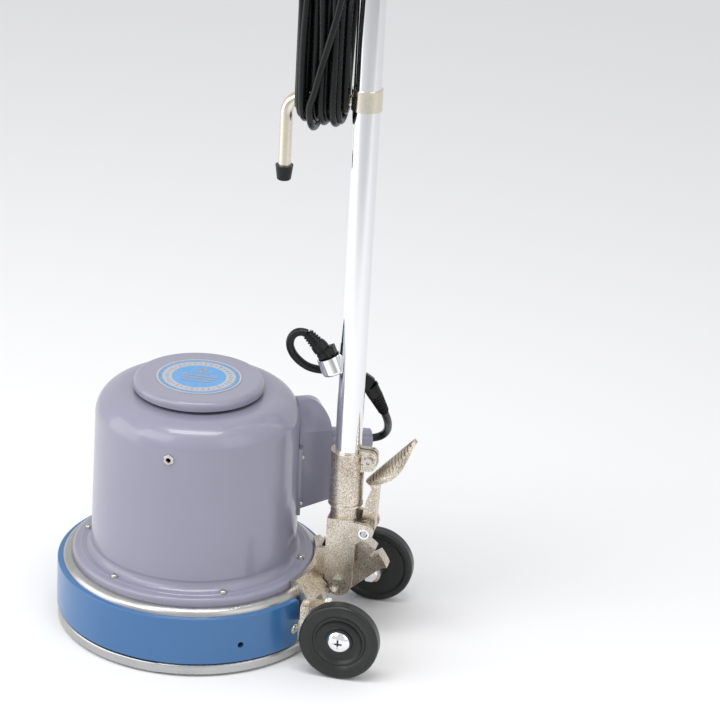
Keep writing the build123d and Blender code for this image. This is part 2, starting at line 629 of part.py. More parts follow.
def make_housing():
    """The switch head: a rounded hollow shell with side sockets for the handlebar and trigger lugs."""
    def shell(inset):
        half = HEAD_Y - inset
        solid = block(HEAD_X0 + inset, HEAD_X1 - inset, -half, half, HEAD_Z0 + inset, HEAD_Z1 - inset)
        return fillet(solid.edges(), 14 - inset)
    head = shell(0) - shell(3)
    collar = rod_y(BAR_R + 5, HEAD_Y - 10, HEAD_Y + 6, BAR_X, BAR_Z)
    for solid in both_sides(collar):
        head += solid
    head += rod(TUBE_R + 4, HEAD_Z0 - 8, HEAD_Z0 + 14, PIVOT_X)
    for side in (1, -1):
        for x0 in (BAR_X - 11, BAR_X + 6):
            y0, y1 = sorted((side * (HEAD_Y - 4), side * (TRIGGER_Y + 8)))
            head += block(x0, x0 + 5, y0, y1, TRIGGER_Z - 7, TRIGGER_Z + 7)
        head += rod_x(2.5, BAR_X - 8, BAR_X + 8, side * (TRIGGER_Y + 2), TRIGGER_Z)
    head -= rod(TUBE_R, 1100, 1200, PIVOT_X)
    head -= rod_y(BAR_R, -80, 80, BAR_X, BAR_Z)
    return head - rod(BUTTON_R + 0.3, HEAD_Z1 - 10, HEAD_Z1 + 5, BUTTON_X)


def make_switch():
    body = block(224, 256, -14, 14, TUBE_Z1, 1212)
    return body + rod(3, 1212, 1222, BUTTON_X) + block(230, 250, -20, 20, TUBE_Z1, TUBE_Z1 + 6)


def make_button():
    return rod(BUTTON_R, 1227, HEAD_Z1 + 8, BUTTON_X) + rod(BUTTON_R + 2.4, 1227, 1232, BUTTON_X)


def make_grips():
    def grip():
        sleeve = rod_y(GRIP_R, GRIP_Y, BAR_Y + 3, BAR_X, BAR_Z)
        sleeve += rod_y(GRIP_R + 5, GRIP_Y - 4, GRIP_Y, BAR_X, BAR_Z)
        for i in range(9):
            y = GRIP_Y + 12 + 9.5 * i
            ring = rod_y(GRIP_R + 2, y, y + 2.5, BAR_X, BAR_Z)
            sleeve -= ring - rod_y(GRIP_R - 1.2, y, y + 2.5, BAR_X, BAR_Z)
        return sleeve - rod_y(BAR_R, 0, BAR_Y, BAR_X, BAR_Z)
    return group(both_sides(grip()))


def make_trigger():
    """A squeeze lever under the right-hand grip."""
    x0, x1 = BAR_X - 5.6, BAR_X + 5.6
    lever = block(x0, x1, TRIGGER_Y + 2, TRIGGER_Y + 114, TRIGGER_Z - 4, TRIGGER_Z + 4)
    lever = fillet(lever.edges().filter_by(Axis.Y), 3)
    lever += rod_x(6, x0, x1, TRIGGER_Y + 2, TRIGGER_Z)
    return lever - rod_x(2.5 + FIT, x0 - 1, x1 + 1, TRIGGER_Y + 2, TRIGGER_Z)


# The mains cord leaves the bottom of the switch head beside the tube and curves to the hank.
CORD_TAIL = (
    (250.0, -40.0, 1122.0), (248.4, -39.1, 1106.5), (242.2, -35.8, 1093.0), (232.6, -30.8, 1084.0),
    (222.0, -25.8, 1079.5),
)


def make_cord_relief():
    """A threaded collar under the switch head and its tapered sleeve."""
    return rod(11, 1144, HEAD_Z0, 251, -41) + along((251.0, -41.0, 1144.0), CORD_TAIL[0], 6.8, 10)


def make_hank():
    """The bundle of turns over both hooks: a flattened ring, open in the middle for the bars."""
    low, high = HOOK_LOW_Z, HOOK_HIGH_Z
    inner_r, outer_r = HOOK_R + 0.6, HOOK_R + 0.35 + HANK_T
    def slot_face(r):
        return make_face([
            Line((0, -r, low), (0, -r, high)),
            ThreePointArc((0, -r, high), (0, 0, high + r), (0, r, high)),
            Line((0, r, high), (0, r, low)),
            ThreePointArc((0, r, low), (0, 0, low - r), (0, -r, low)),
        ])
    section = slot_face(outer_r) - slot_face(inner_r)
    hank = Pos(HANK_X0, 0, 0) * extrude(section, amount=HANK_X1 - HANK_X0, dir=(1, 0, 0))
    for z, up in ((low, -1), (high, 1)):
        hank -= make_hook(z, up, clear=0.35)[0]
    return hank


def make_plug():
    """A plug with two pins, held upright against the far side of the hank by the cord's last run."""
    neck, middle = (180.0, 45.0, 952.0), (180.0, 50.5, 984.0)
    face, tip = (180.0, 51.5, 1007.0), (180.0, 52.8, 1025.0)
    body = along(neck, middle, 16.0, 8.0) + ball(middle, 16.4) + along(middle, face, 17.0)
    pins = along(face, tip, 2.4)
    return body + Pos(-9.5, 0, 0) * pins + Pos(9.5, 0, 0) * pins


def save_base():
    screws = [place * pan_screw(5.0, 3.0, 2.5, 16) for place in cover_screw_places()]
    small = Pos(SADDLE_R, 0, 0) * Rot(0, 90, 0) * pan_screw(3.0, 2.2, 1.6, 2)
    box_screws = [at_box(Rot(0, 0, deg) * Pos(0, 0, z) * small) for deg in (-16.8, 16.8) for z in (208, 290)]
    band_screws = [place * pan_screw(6.2, 3.0, 3.0, 11) for place in band_screw_places()]
    yoke_bolts = make_yoke_bolts()
    base = make_base()
    save(drilled(base, [*screws, *band_screws, *yoke_bolts.children]), "base_casting")
    save(drilled(make_band(), band_screws), "bumper_band")
    save(group(band_screws), "band_screws")
    save(drilled(make_cover(), screws), "motor_cover")
    save(group([*screws, *box_screws]), "cover_screws")
    save(make_cap(), "top_cap")
    save(make_badge(), "badge")
    save(make_junction_box(), "junction_box")
    save(drilled(make_saddle(turned(*cover_outer())), box_screws), "junction_saddle")
    save(make_capacitors(), "capacitors")
    save(make_gland(), "lead_gland")
    save(make_yoke(base), "yoke")
    save(yoke_bolts, "yoke_bolts")
    save(make_quadrant(), "quadrant")
    save(make_pivot_bolt(), "pivot_bolt")
    save(group(both_sides(make_axle())), "wheel_axles")
    wheel = make_wheel()
    save(wheel, "wheel_right")
    save(mirror(wheel, Plane.XZ), "wheel_left")


def save_motor():
    save(make_gearbox_housing(), "gearbox_housing")
    save(make_ring_gear(), "ring_gear")
    save(make_gearbox_cover(), "gearbox_cover")
    save(turned((STATOR_R, 131), (90, 131), (90, 330), (STATOR_R, 330)), "motor_frame")
    windings, bars = make_windings()
    core = rod(STATOR_R, STATOR_Z0, STATOR_Z1) - rod(STATOR_BORE_R, STATOR_Z0, STATOR_Z1)
    save(drilled(core, bars), "stator_core")
    save(windings, "stator_windings")
    bell = turned((20, 326), (30, 326), (30, 330), (90, 330), (90, 338), (26, 338), (26, 341), (20, 341))
    save(bell, "motor_end_bell")
    save(group([bearing(20 + FIT, 32, 56, 70), bearing(SHAFT_R + FIT, 23.5, 121, 135),
                bearing(SHAFT_TOP_R + FIT, 20, 326, 340)]), "bearings")
    shaft = rod(SHAFT_R, 100, 320) + rod(SHAFT_TOP_R, 320, SHAFT_TOP_Z)
    sun = Pos(0, 0, 79) * Rot(0, 0, 180 / SUN_N) * extrude(gear_face(SUN_N, True, -BACKLASH / 2), amount=22)
    save(shaft + sun, "motor_shaft")
    save(rod(ROTOR_R, STATOR_Z0, STATOR_Z1) - rod(SHAFT_R, 100, 300), "rotor_core")
    save(make_fan(), "cooling_fan")


def save_drive():
    carrier = rod(62, 71, 79) + rod(20, 46, 72)
    for pin in around(rod(6, 79, 101, ORBIT_R), 3):
        carrier += pin
    carrier += rod(32, 46, 52)
    save(carrier - rod(4, 40, 60), "planet_carrier")
    clutch = rod(60, 34, 46)
    for lug in around(block(50, 74, -12, 12, 34, 42), 3):
        clutch += lug
    save(clutch, "clutch_plate")
    save(rod(DRIVER_R, PAD_T, PAD_T + DRIVER_T) - rod(40, PAD_T + 9, PAD_T + DRIVER_T), "pad_driver")
    save(rod(PAD_R, 0, PAD_T), "floor_pad")

    planet_face = gear_face(PLANET_N, True, -BACKLASH / 2) - Circle(6 + FIT)
    planet = Pos(ORBIT_R, 0, GEAR_Z0) * extrude(planet_face, amount=GEAR_Z1 - GEAR_Z0)
    for i in range(3):
        save(Rot(0, 0, 120 * i) * planet, f"planet_gear_{i + 1}")


def save_handle():
    save(make_fork(), "handle_fork")
    save(make_clamp_bolt(), "clamp_bolt")
    save(make_pedal_pin(), "pedal_pin")
    save(make_pedal_spring(), "pedal_spring")
    save(make_pedal(), "pedal")
    tube = rod(TUBE_R, TUBE_Z0, TUBE_Z1, PIVOT_X) - rod(TUBE_IN_R, TUBE_Z0 - 1, TUBE_Z1 + 1, PIVOT_X)
    save(tube, "handle_tube")
    save(make_socket(), "lead_socket")
    save(make_lead_boot(), "lead_boot")
    save(tube_along(LEAD_TOP, LEAD_R, corner_radii(LEAD_TOP)), "motor_lead_upper")
    save(make_connector(), "lead_connector")
    save(tube_along(LEAD_LOW, LEAD_R, corner_radii(LEAD_LOW)), "motor_lead_lower")
    save(make_cord_hooks(), "cord_hooks")
    save(make_hook_caps(), "hook_caps")
    save(make_housing(), "switch_housing")
    save(make_switch(), "switch_module")
    save(rod_y(BAR_R, -BAR_Y, BAR_Y, BAR_X, BAR_Z), "handlebar")
    save(make_grips(), "grips")
    save(make_button(), "lock_button")
    trigger = make_trigger()
    save(trigger, "trigger_right")
    save(mirror(trigger, Plane.XZ), "trigger_left")
    save(make_cord_relief(), "cord_relief")
    save(tube_along(CORD_TAIL, CORD_R, corner_radii(CORD_TAIL)), "power_cord_tail")
    save(make_hank(), "power_cord_hank")
    save(make_plug(), "power_plug")


save_base()
save_motor()
save_drive()
save_handle()
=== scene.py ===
import json
import math

import bmesh
import bpy
from mathutils import Matrix, Vector


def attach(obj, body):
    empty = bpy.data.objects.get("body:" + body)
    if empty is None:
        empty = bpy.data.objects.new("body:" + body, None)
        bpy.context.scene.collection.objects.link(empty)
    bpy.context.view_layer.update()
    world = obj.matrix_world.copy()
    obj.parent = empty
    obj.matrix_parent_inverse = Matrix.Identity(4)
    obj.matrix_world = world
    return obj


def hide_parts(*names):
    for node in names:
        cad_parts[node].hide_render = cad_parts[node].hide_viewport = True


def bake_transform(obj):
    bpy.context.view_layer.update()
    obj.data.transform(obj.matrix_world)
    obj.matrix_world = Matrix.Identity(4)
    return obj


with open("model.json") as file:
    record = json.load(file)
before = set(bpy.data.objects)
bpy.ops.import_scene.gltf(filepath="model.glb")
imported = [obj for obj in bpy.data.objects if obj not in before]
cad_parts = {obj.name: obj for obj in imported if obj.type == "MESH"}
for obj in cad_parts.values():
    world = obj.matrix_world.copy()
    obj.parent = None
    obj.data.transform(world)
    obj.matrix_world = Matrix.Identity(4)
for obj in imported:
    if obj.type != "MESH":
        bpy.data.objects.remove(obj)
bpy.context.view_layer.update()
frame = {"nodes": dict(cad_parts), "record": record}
nodes = frame["nodes"]


# ---------------------------------------------------------------- camera

def set_camera():
    """The viewing angle: azimuth, elevation and roll in degrees, with a long lens."""
    azimuth, elevation, roll = (math.radians(v) for v in (11.02, 23.48, 3.05))
    back = Vector((math.sin(azimuth) * math.cos(elevation), -math.cos(azimuth) * math.cos(elevation),
                   math.sin(elevation)))
    right = Vector((math.cos(azimuth), math.sin(azimuth), 0))
    up = back.cross(right)
    x_axis = right * math.cos(roll) + up * math.sin(roll)
    y_axis = up * math.cos(roll) - right * math.sin(roll)
    data = bpy.data.cameras.new("camera")
    data.lens, data.sensor_width = 145.13, 36
    data.shift_x, data.shift_y = 0.0141, 0.0195
    data.clip_end = 100
    camera = bpy.data.objects.new("camera", data)
    camera.matrix_world = Matrix((
        (x_axis.x, y_axis.x, back.x, 1.03951),
        (x_axis.y, y_axis.y, back.y, -4.09042),
        (x_axis.z, y_axis.z, back.z, 2.26955),
        (0, 0, 0, 1),
    ))
    bpy.context.scene.collection.objects.link(camera)
    bpy.context.scene.camera = camera


# ---------------------------------------------------------------- materials

class Finish:
    """A procedural material: a Principled shader with helpers for its nodes."""

    def __init__(self, name, rough=0.4, metal=0.0, coat=0.0, coat_rough=0.05, level=0.5):
        self.mat = bpy.data.materials.new(name)
        self.mat.use_nodes = True
        self.tree = self.mat.node_tree
        self.shader = self.tree.nodes["Principled BSDF"]
        for key, value in (("Roughness", rough), ("Metallic", metal), ("Coat Weight", coat),
                           ("Coat Roughness", coat_rough), ("Specular IOR Level", level)):
            self.shader.inputs[key].default_value = value
        self.where = self.new("ShaderNodeTexCoord").outputs["Object"]

    def new(self, kind, **settings):
        node = self.tree.nodes.new(kind)
        for key, value in settings.items():
            if hasattr(node, key):
                setattr(node, key, value)
            else:
                node.inputs[key].default_value = value
        return node

    def link(self, a, b):
        self.tree.links.new(a, b)

    def stretch(self, x, y, z):
        node = self.new("ShaderNodeVectorMath", operation="MULTIPLY")
        self.link(self.where, node.inputs[0])
        node.inputs[1].default_value = (x, y, z)
        return node.outputs[0]

    def noise(self, scale, detail=3.0, rough=0.5, at=None):
        node = self.new("ShaderNodeTexNoise")
        node.inputs["Scale"].default_value = scale
        node.inputs["Detail"].default_value = detail
        node.inputs["Roughness"].default_value = rough
        self.link(at or self.where, node.inputs["Vector"])
        return node.outputs["Fac"]

    def ramp(self, fac, *stops, constant=False):
        """Stops are (position, colour); a number stands for a grey."""
        node = self.new("ShaderNodeValToRGB")
        ramp = node.color_ramp
        if constant:
            ramp.interpolation = "CONSTANT"
        while len(ramp.elements) < len(stops):
            ramp.elements.new(0.5)
        for element, (place, colour) in zip(ramp.elements, stops):
            element.position = place
            rgb = (colour,) * 3 if isinstance(colour, (int, float)) else colour
            element.color = (*rgb, 1)
        self.link(fac, node.inputs["Fac"])
        return node.outputs["Color"]

    def math(self, operation, a, b=0.0, c=0.0):
        node = self.new("ShaderNodeMath", operation=operation)
        for socket, value in zip(node.inputs, (a, b, c)):
            if isinstance(value, (int, float)):
                socket.default_value = value
            else:
                self.link(value, socket)
        return node.outputs[0]

    def mix(self, fac, a, b, blend="MIX"):
        node = self.new("ShaderNodeMix", data_type="RGBA", blend_type=blend)
        sockets = [s for s in node.inputs if s.enabled]
        for socket, value in zip(sockets, (fac, a, b)):
            if isinstance(value, (int, float)):
                socket.default_value = value
            elif isinstance(value, tuple):
                socket.default_value = (*value, 1)
            else:
                self.link(value, socket)
        return [s for s in node.outputs if s.enabled][0]

    def colour(self, value):
        if isinstance(value, tuple):
            self.shader.inputs["Base Color"].default_value = (*value, 1)
        else:
            self.link(value, self.shader.inputs["Base Color"])
        return self

    def rough(self, fac, low, high):
        """Roughness between low and high as fac goes from 0.3 to 0.7."""
        node = self.new("ShaderNodeMapRange")
        for key, value in (("From Min", 0.3), ("From Max", 0.7), ("To Min", low), ("To Max", high)):
            node.inputs[key].default_value = value
        self.link(fac, node.inputs["Value"])
        self.link(node.outputs[0], self.shader.inputs["Roughness"])
        return self

    def bump(self, *layers, coat=False):
        """Layers are (height, distance in metres, strength)."""
        normal = None
        for height, distance, strength in layers:
            node = self.new("ShaderNodeBump")
            node.inputs["Distance"].default_value = distance
            node.inputs["Strength"].default_value = strength
            self.link(height, node.inputs["Height"])
            if normal is not None:
                self.link(normal, node.inputs["Normal"])
            normal = node.outputs["Normal"]
        self.link(normal, self.shader.inputs["Normal"])
        if coat:
            self.link(normal, self.shader.inputs["Coat Normal"])
        return self

    def radius(self):
        """Distance from the motor's axis, and height."""
        split = self.new("ShaderNodeSeparateXYZ")
        self.link(self.where, split.inputs[0])
        x, y = split.outputs[0], split.outputs[1]
        square = self.math("ADD", self.math("MULTIPLY", x, x), self.math("MULTIPLY", y, y))
        return self.math("SQRT", square), split.outputs[2]

    def edges(self, size):
        """1 at the model's sharp edges, 0 on flat places."""
        bevel = self.new("ShaderNodeBevel", samples=4)
        bevel.inputs["Radius"].default_value = size
        normal = self.new("ShaderNodeNewGeometry").outputs["Normal"]
        dot = self.new("ShaderNodeVectorMath", operation="DOT_PRODUCT")
        self.link(bevel.outputs[0], dot.inputs[0])
        self.link(normal, dot.inputs[1])
        return self.math("SUBTRACT", 1.0, dot.outputs["Value"])


def paint(name, tint, deep):
    """Gloss enamel with a faint orange peel, thin dust and soft patches."""
    f = Finish(name, rough=0.32, coat=0.55, coat_rough=0.06)
    patches = f.noise(7, 4, 0.55)
    f.colour(f.mix(f.ramp(patches, (0.2, 0.0), (0.9, 1.0)), tint, deep))
    f.rough(f.noise(12, 2), 0.3, 0.35)
    return f.bump((f.noise(520, 2), 0.00003, 0.12), (f.noise(45, 1), 0.0001, 0.08), coat=True).mat


def cast(name, bright, warm, dark, speck=700.0):
    """Plated rough casting: grains, dark pits, painted glint specks, and a brighter colour on sharp edges
    that is partly rubbed wear and partly a painted highlight.
    """
    f = Finish(name, metal=1.0)
    grain = f.noise(speck, 6, 0.7)
    blotch = f.noise(26, 5, 0.6)
    base = f.mix(f.ramp(blotch, (0.35, 0.0), (0.68, 1.0)), bright, warm)
    base = f.mix(f.ramp(grain, (0.40, 1.0), (0.49, 0.0)), base, dark)
    # painted highlight: scattered specks brighter than the metal, painted in as glints
    painted_glint = tuple(min(1, c * 1.3) for c in bright)
    base = f.mix(f.ramp(f.noise(speck * 0.8, 4, 0.6), (0.55, 0.0), (0.64, 1.0)), base, painted_glint)
    # partly rubbed wear, partly painted highlight: the colour is made brighter along the model's sharp edges
    edge_wear_and_highlight = f.ramp(f.edges(0.0012), (0.02, 0.0), (0.2, 1.0))
    f.colour(f.mix(edge_wear_and_highlight, base, tuple(min(1, c * 1.25) for c in bright)))
    f.rough(f.noise(230, 4, 0.65), 0.24, 0.46)
    return f.bump((grain, 0.00035, 0.55), (f.noise(90, 4, 0.6), 0.0007, 0.35)).mat


def make_materials():
    made = {}
    made["lavender_paint"] = paint("lavender_enamel", (0.272, 0.269, 0.352), (0.252, 0.249, 0.328))

    f = Finish("blue_band", rough=0.3, coat=0.35, coat_rough=0.08)
    f.colour(f.mix(f.noise(9, 4), (0.028, 0.125, 0.31), (0.040, 0.150, 0.345)))
    f.rough(f.noise(12, 2), 0.28, 0.34)
    f.bump((f.noise(300, 3), 0.00006, 0.35), (f.noise(16, 2), 0.0008, 0.15), coat=True)
    made["bumper_blue"] = f.mat

    f = Finish("turned_aluminium", metal=1.0)
    ring, z = f.radius()
    rings = f.new("ShaderNodeCombineXYZ")
    f.link(f.math("MULTIPLY", ring, 420.0), rings.inputs[0])
    f.link(f.math("MULTIPLY", z, 420.0), rings.inputs[1])
    lines = f.noise(1.0, 3, 0.6, rings.outputs[0])
    patches = f.ramp(f.noise(14, 2), (0.3, 0.0), (0.7, 1.0))
    f.colour(f.mix(patches, (0.46, 0.455, 0.445), (0.55, 0.545, 0.535)))
    f.rough(f.noise(14, 2), 0.25, 0.32)
    made["cast_aluminium"] = f.bump((lines, 0.00006, 0.1)).mat

    made["cast_nickel"] = cast("nickel_casting", (0.84, 0.77, 0.67), (0.58, 0.49, 0.39), (0.09, 0.07, 0.05))

    f = Finish("satin_nickel", metal=1.0)
    f.colour(f.mix(f.noise(24, 4), (0.74, 0.68, 0.56), (0.84, 0.79, 0.68)))
    f.rough(f.noise(130, 4), 0.17, 0.3)
    made["satin_nickel"] = f.bump((f.noise(300, 3), 0.00003, 0.1)).mat

    f = Finish("chrome_tube", metal=1.0)
    f.colour(f.mix(f.noise(5, 3), (0.86, 0.87, 0.89), (0.93, 0.93, 0.94)))
    f.rough(f.noise(22, 5, 0.65), 0.045, 0.11)
    scratches = f.noise(60, 2, 0.5, f.stretch(18, 18, 0.6))
    made["chrome"] = f.bump((scratches, 0.00002, 0.12)).mat

    f = Finish("zinc_plate", metal=1.0)
    f.colour(f.ramp(f.noise(110, 3), (0.3, (0.46, 0.45, 0.43)), (0.55, (0.62, 0.60, 0.55)),
                    (0.75, (0.50, 0.52, 0.54))))
    f.rough(f.noise(300, 3), 0.2, 0.38)
    made["zinc_steel"] = f.bump((f.noise(900, 3), 0.00006, 0.3)).mat

    f = Finish("machined_steel", metal=1.0)
    f.colour(f.mix(f.noise(60, 4), (0.42, 0.42, 0.42), (0.56, 0.55, 0.53)))
    f.rough(f.noise(200, 3), 0.22, 0.4)
    made["steel"] = f.bump((f.noise(600, 3), 0.00008, 0.3)).mat

    f = Finish("wound_copper", metal=1.0)
    strands = f.new("ShaderNodeTexWave", bands_direction="Z")
    strands.inputs["Scale"].default_value = 260
    strands.inputs["Distortion"].default_value = 3
    f.link(f.where, strands.inputs["Vector"])
    f.colour(f.mix(strands.outputs["Fac"], (0.55, 0.2, 0.07), (0.75, 0.33, 0.14)))
    f.rough(f.noise(200, 3), 0.25, 0.45)
    made["copper"] = f.bump((strands.outputs["Fac"], 0.0005, 0.6)).mat

    f = Finish("wheel_rubber", level=0.44)
    f.colour(f.mix(f.noise(30, 6, 0.7), (0.010, 0.0115, 0.011), (0.019, 0.021, 0.020)))
    f.rough(f.noise(70, 5, 0.6), 0.26, 0.38)
    made["black_wheel"] = f.bump((f.noise(900, 3), 0.00006, 0.3), (f.noise(50, 3), 0.0002, 0.15)).mat

    for slot_name, name, low, high in (("black_plastic", "moulded_black", 0.34, 0.5),
                                       ("black_rubber", "soft_black", 0.22, 0.34)):
        f = Finish(name, level=0.3)
        f.colour(f.mix(f.noise(45, 5, 0.65), (0.004, 0.0045, 0.005), (0.009, 0.0095, 0.01)))
        f.rough(f.noise(120, 4), low, high)
        made[slot_name] = f.bump((f.noise(1500, 3), 0.00005, 0.45)).mat

    f = Finish("grey_moulding", level=0.45)
    f.colour(f.mix(f.noise(30, 5), (0.16, 0.16, 0.17), (0.2, 0.2, 0.21)))
    f.rough(f.noise(120, 4), 0.4, 0.55)
    made["grey_plastic"] = f.bump((f.noise(1300, 3), 0.00006, 0.5)).mat

    f = Finish("badge_face", rough=0.35, coat=0.3, coat_rough=0.1)
    ring, z = f.radius()
    silver, blue, pale = (0.47, 0.46, 0.46), (0.085, 0.30, 0.62), (0.40, 0.42, 0.47)
    rings = f.ramp(f.math("MULTIPLY", ring, 10.0), (0, blue), (0.43, silver), (0.445, pale), (0.57, silver),
                   (0.582, blue), (0.648, silver), constant=True)
    f.colour(f.mix(f.ramp(f.noise(160, 4), (0.45, 0.0), (0.7, 0.16)), rings, silver))
    f.rough(f.noise(200, 3), 0.28, 0.42)
    made["badge_blue"] = f.bump((f.noise(800, 2), 0.00003, 0.3)).mat

    f = Finish("badge_silver", metal=0.85)
    f.colour(f.mix(f.noise(250, 4), (0.44, 0.43, 0.43), (0.6, 0.59, 0.58)))
    f.rough(f.noise(300, 3), 0.3, 0.45)
    made["badge_silver"] = f.bump((f.noise(900, 2), 0.00004, 0.3)).mat

    f = Finish("button_red", level=0.5)
    f.colour(f.mix(f.noise(90, 4), (0.5, 0.02, 0.015), (0.42, 0.015, 0.012)))
    f.rough(f.noise(200, 3), 0.28, 0.4)
    made["red_plastic"] = f.bump((f.noise(900, 2), 0.00004, 0.3)).mat

    f = Finish("pad_fibre", rough=0.9, level=0.2)
    fibres = f.noise(420, 6, 0.75)
    f.colour(f.ramp(fibres, (0.3, (0.16, 0.012, 0.01)), (0.55, (0.42, 0.04, 0.03)), (0.8, (0.6, 0.12, 0.09))))
    made["pad_fibre"] = f.bump((fibres, 0.003, 0.9)).mat

    f = Finish("brass_pins", metal=1.0)
    f.colour(f.mix(f.noise(120, 3), (0.78, 0.58, 0.26), (0.86, 0.68, 0.36)))
    f.rough(f.noise(300, 3), 0.15, 0.3)
    made["brass"] = f.bump((f.noise(900, 2), 0.00003, 0.3)).mat

    # painted shade: a near-black finish for the pieces that stand in for the shade in recesses and holes
    f = Finish("painted_shade_black", rough=0.7, level=0.2)
    f.colour(f.mix(f.noise(300, 4), (0.01, 0.009, 0.009), (0.035, 0.022, 0.02)))
    made["dark"] = f.bump((f.noise(700, 3), 0.0002, 0.5)).mat
    return made


def dress_cad(made):
    """Every CAD node takes the finish of its material slot."""
    for part in frame["record"]["subparts"]:
        obj = nodes[part["node"]]
        obj.data.materials.clear()
        obj.data.materials.append(made[part["material_slot"]])


# ---------------------------------------------------------------- mesh building

def turn_to(direction, roll=0.0):
    """A rotation whose Z axis lies along direction."""
    return Vector(direction).to_track_quat("Z", "Y").to_matrix().to_4x4() @ Matrix.Rotation(roll, 4, "Z")


class Piece:
    """A mesh made from several closed forms, in metres."""

    def __init__(self, name):
        self.name = name
        self.bm = bmesh.new()

    def lathe(self, profile, at=Matrix(), segments=64):
        """Turns a closed profile of (radius, height), in millimetres, about the Z axis of at."""
        rings = []
        for r, z in profile:
            if r < 1e-6:
                rings.append([self.bm.verts.new(at @ Vector((0, 0, z / 1000)))])
                continue
            ring = []
            for i in range(segments):
                a = 2 * math.pi * i / segments
                place = Vector((r * math.cos(a), r * math.sin(a), z)) / 1000
                ring.append(self.bm.verts.new(at @ place))
            rings.append(ring)
        for low, high in zip(rings, rings[1:]):
            for i in range(segments):
                j = (i + 1) % segments
                quad = [low[i % len(low)], low[j % len(low)], high[j % len(high)], high[i % len(high)]]
                corners = list(dict.fromkeys(quad))
                if len(corners) > 2:
                    self.bm.faces.new(corners)
        return self

    def prism(self, outline, z0, z1, at=Matrix()):
        """A flat outline of (x, y), in millimetres, made thick from z0 to z1."""
        low = [self.bm.verts.new(at @ Vector((x / 1000, y / 1000, z0 / 1000))) for x, y in outline]
        high = [self.bm.verts.new(at @ Vector((x / 1000, y / 1000, z1 / 1000))) for x, y in outline]
        self.bm.faces.new(low[::-1])
        self.bm.faces.new(high)
        for i in range(len(low)):
            j = (i + 1) % len(low)
            self.bm.faces.new((low[i], low[j], high[j], high[i]))
        return self

    def tube(self, path, radius, segments=16):
        """A round tube along points in metres, with flat ends."""
        points = [Vector(p) for p in path]
        side = None
        rings = []
        for i, p in enumerate(points):
            along = (points[min(i + 1, len(points) - 1)] - points[max(i - 1, 0)]).normalized()
            if side is None:
                side = along.orthogonal().normalized()
            side = (side - along * side.dot(along)).normalized()
            other = along.cross(side)
            rings.append([self.bm.verts.new(p + radius * (math.cos(a) * side + math.sin(a) * other))
                          for a in (2 * math.pi * k / segments for k in range(segments))])
        for low, high in zip(rings, rings[1:]):
            for k in range(segments):
                m = (k + 1) % segments
                self.bm.faces.new((low[k], low[m], high[m], high[k]))
        self.bm.faces.new(rings[0][::-1])
        self.bm.faces.new(rings[-1])
        return self

    def done(self, material, slot_name, body=None, smooth_deg=40):
        bmesh.ops.recalc_face_normals(self.bm, faces=self.bm.faces)
        mesh = bpy.data.meshes.new(self.name)
        self.bm.to_mesh(mesh)
        self.bm.free()
        mesh.materials.append(material)
        for face in mesh.polygons:
            face.use_smooth = True
        mesh.set_sharp_from_angle(angle=math.radians(smooth_deg))
        obj = bpy.data.objects.new(self.name, mesh)
        bpy.context.scene.collection.objects.link(obj)
        if body:
            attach(obj, body)
        return obj


# ---------------------------------------------------------------- cords

def metres(points):
    return [tuple(v / 1000 for v in p) for p in points]


def spline(name, points, radius=0.0, resolution=10):
    """One open NURBS spline whose control points are the route's points, in metres."""
    data = bpy.data.curves.new(name, "CURVE")
    data.dimensions = "3D"
    line = data.splines.new("NURBS")
    line.points.add(len(points) - 1)
    for point, place in zip(line.points, points):
        point.co = (*place, 1)
    line.order_u = 3
    line.use_endpoint_u = True
    line.resolution_u = data.resolution_u = resolution
    data.bevel_depth, data.bevel_resolution = radius, 5
    data.use_fill_caps = radius > 0
    obj = bpy.data.objects.new(name, data)
    bpy.context.scene.collection.objects.link(obj)
    return obj


def line_of(curve):
    """Points read from a NURBS spline that has no bevel."""
    mesh = bpy.data.meshes.new_from_object(curve.evaluated_get(bpy.context.evaluated_depsgraph_get()))
    points = [tuple(v.co) for v in mesh.vertices]
    bpy.data.meshes.remove(mesh)
    return points


LEAD_TOP = (
    (172.0, 0.0, 519.0), (162.0, 0.0, 521.0), (151.8, 0.5, 516.5), (145.3, 2.0, 506.5), (143.6, 4.0, 494.5),
    (146.6, 7.0, 482.5), (152.5, 11.0, 471.5), (161.5, 15.0, 461.5), (173.0, 20.0, 453.0),
    (188.0, 27.0, 448.0), (206.0, 35.0, 446.0), (225.0, 40.0, 446.5),
)
LEAD_LOW = (
    (290.0, 59.0, 377.0), (292.3, 68.5, 364.5), (293.0, 81.0, 350.5), (291.5, 95.5, 336.5),
    (288.5, 108.5, 322.5), (282.5, 117.5, 310.5), (272.2, 118.3, 302.3), (260.6, 112.4, 302.0),
)
CORD_TAIL = (
    (250.0, -40.0, 1122.0), (248.4, -39.1, 1106.5), (242.2, -35.8, 1093.0), (232.6, -30.8, 1084.0),
    (222.0, -25.8, 1079.5),
)
LOW_Z, HIGH_Z = 905.0, 1108.0  # the two hooks' bars


def half_turn(x0, x1, r, top, drop=0.0):
    """Seven points round a hook's bar: over the upper one, or under the lower one."""
    points = []
    for i in range(7):
        a = math.pi * i / 6
        x = x0 + (x1 - x0) * i / 6
        if top:
            points.append((x, r * math.cos(a), HIGH_Z + r * math.sin(a)))
        else:
            points.append((x, -r * math.cos(a), LOW_Z - drop * math.sin(a) - r * math.sin(a)))
    return points


def run(a, b, bulge=0.0):
    """Three points between two ends, with a little sideways bulge."""
    return [(a[0] + (b[0] - a[0]) * t + bulge * math.sin(math.pi * t), a[1] + (b[1] - a[1]) * t - 0.8,
             a[2] + (b[2] - a[2]) * t) for t in (0.25, 0.5, 0.75)]


